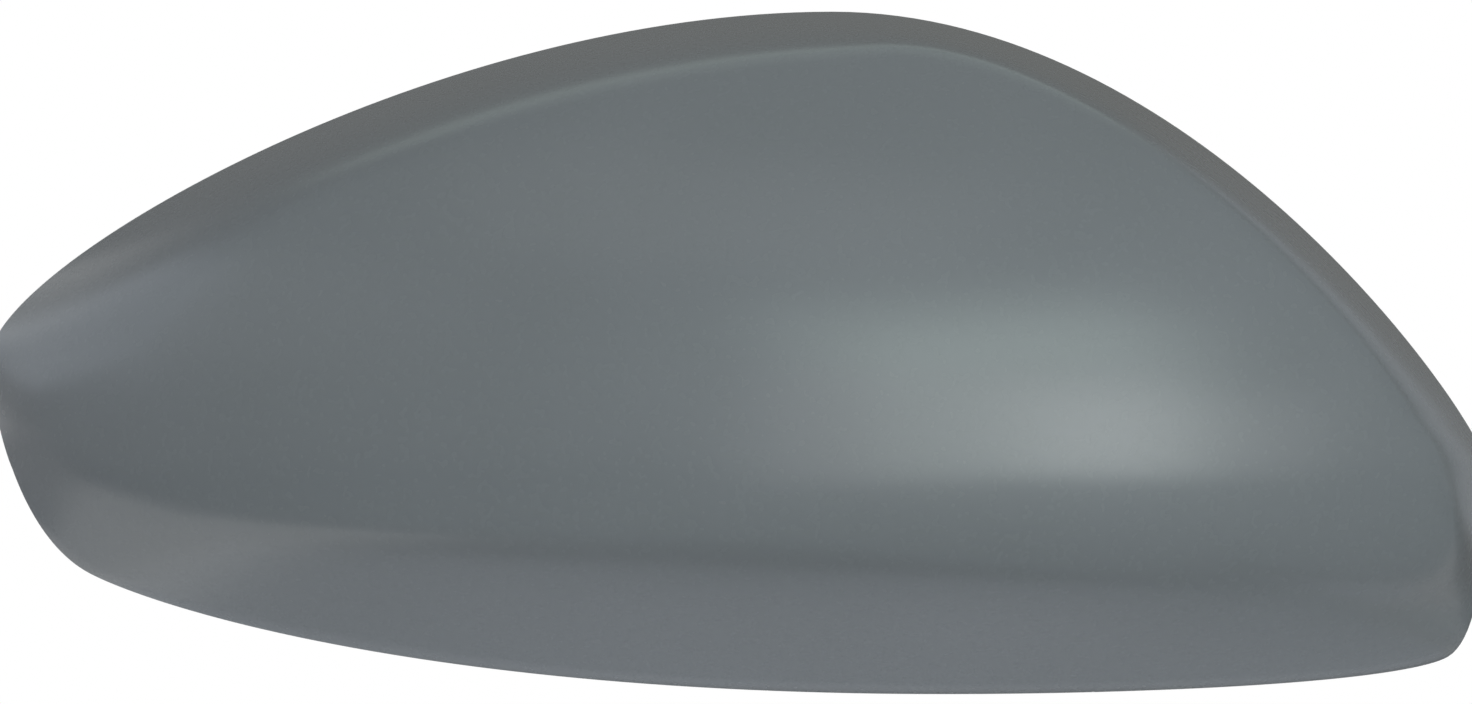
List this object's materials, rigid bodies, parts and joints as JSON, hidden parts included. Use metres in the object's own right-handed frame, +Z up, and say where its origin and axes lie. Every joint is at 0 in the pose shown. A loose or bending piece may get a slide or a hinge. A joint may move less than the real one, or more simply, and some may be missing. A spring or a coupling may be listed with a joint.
{
  "type": "wing mirror cover",
  "caption": "Moulded wing mirror cover in grey primer: a crowned, pointed shell with a crease along its lower flank, locating pins, ribs and snap tabs inside.",
  "frame": {"origin": "centre of the main locating pin's seat, which is also the centre of the outline seen from the front", "axes": "+X along the cover from its narrow tip to its broad end, +Y backwards along the locating pins into the mirror housing, +Z up"},
  "size_m": [0.23, 0.082, 0.105],
  "materials": {
    "primer": "matte"
  },
  "bodies": {
    "root": {"mirror_cover": "primer"}
  },
  "joints": []
}
